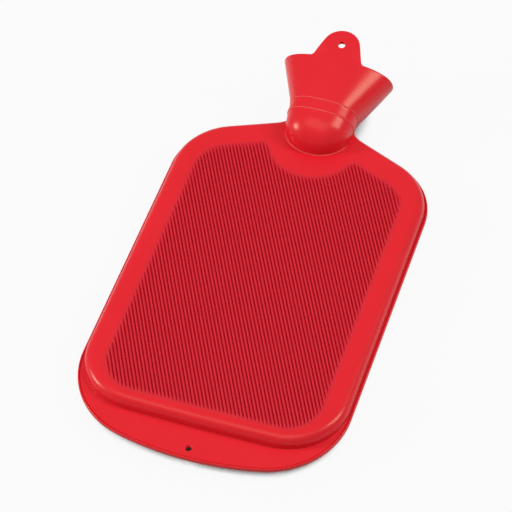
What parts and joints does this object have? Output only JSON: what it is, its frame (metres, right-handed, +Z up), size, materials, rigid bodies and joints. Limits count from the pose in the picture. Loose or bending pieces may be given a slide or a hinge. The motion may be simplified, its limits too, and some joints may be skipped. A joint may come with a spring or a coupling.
{
  "type": "hot water bottle",
  "caption": "Ribbed rubber hot water bottle lying flat, with a seam flange, a funnel neck with a hanging tab, and a screw stopper in the neck.",
  "frame": {"origin": "centre of the footprint box on the table", "axes": "+X across the bottle, +Y from the bottom edge to the hanging tab, +Z up out of the front panel"},
  "size_m": [0.2, 0.379, 0.0619],
  "materials": {
    "red_rubber": "satin",
    "brass": "machined",
    "seal_rubber": "matt",
    "stopper_plastic": "moulded"
  },
  "bodies": {
    "bottle": {"bottle_body": "red_rubber", "neck_bush": "brass"},
    "seal": {"stopper_washer": "seal_rubber"},
    "plug": {"stopper": "stopper_plastic"}
  },
  "joints": [
    {"name": "stopper_rise", "type": "slide", "parent": "bottle", "child": "seal", "axis": [0, 0.9781, 0.2079], "range_m": [0, 0.08]},
    {"name": "stopper_turn", "type": "hinge", "parent": "seal", "child": "plug", "pos_m": [0, 0.13558, 0.02959], "axis": [0, 0.9781, 0.2079], "range_deg": [0, 7200]}
  ],
  "couplings": [
    {"joint": "stopper_turn", "follows": "stopper_rise", "rad_per_m": 1570.8}
  ]
}
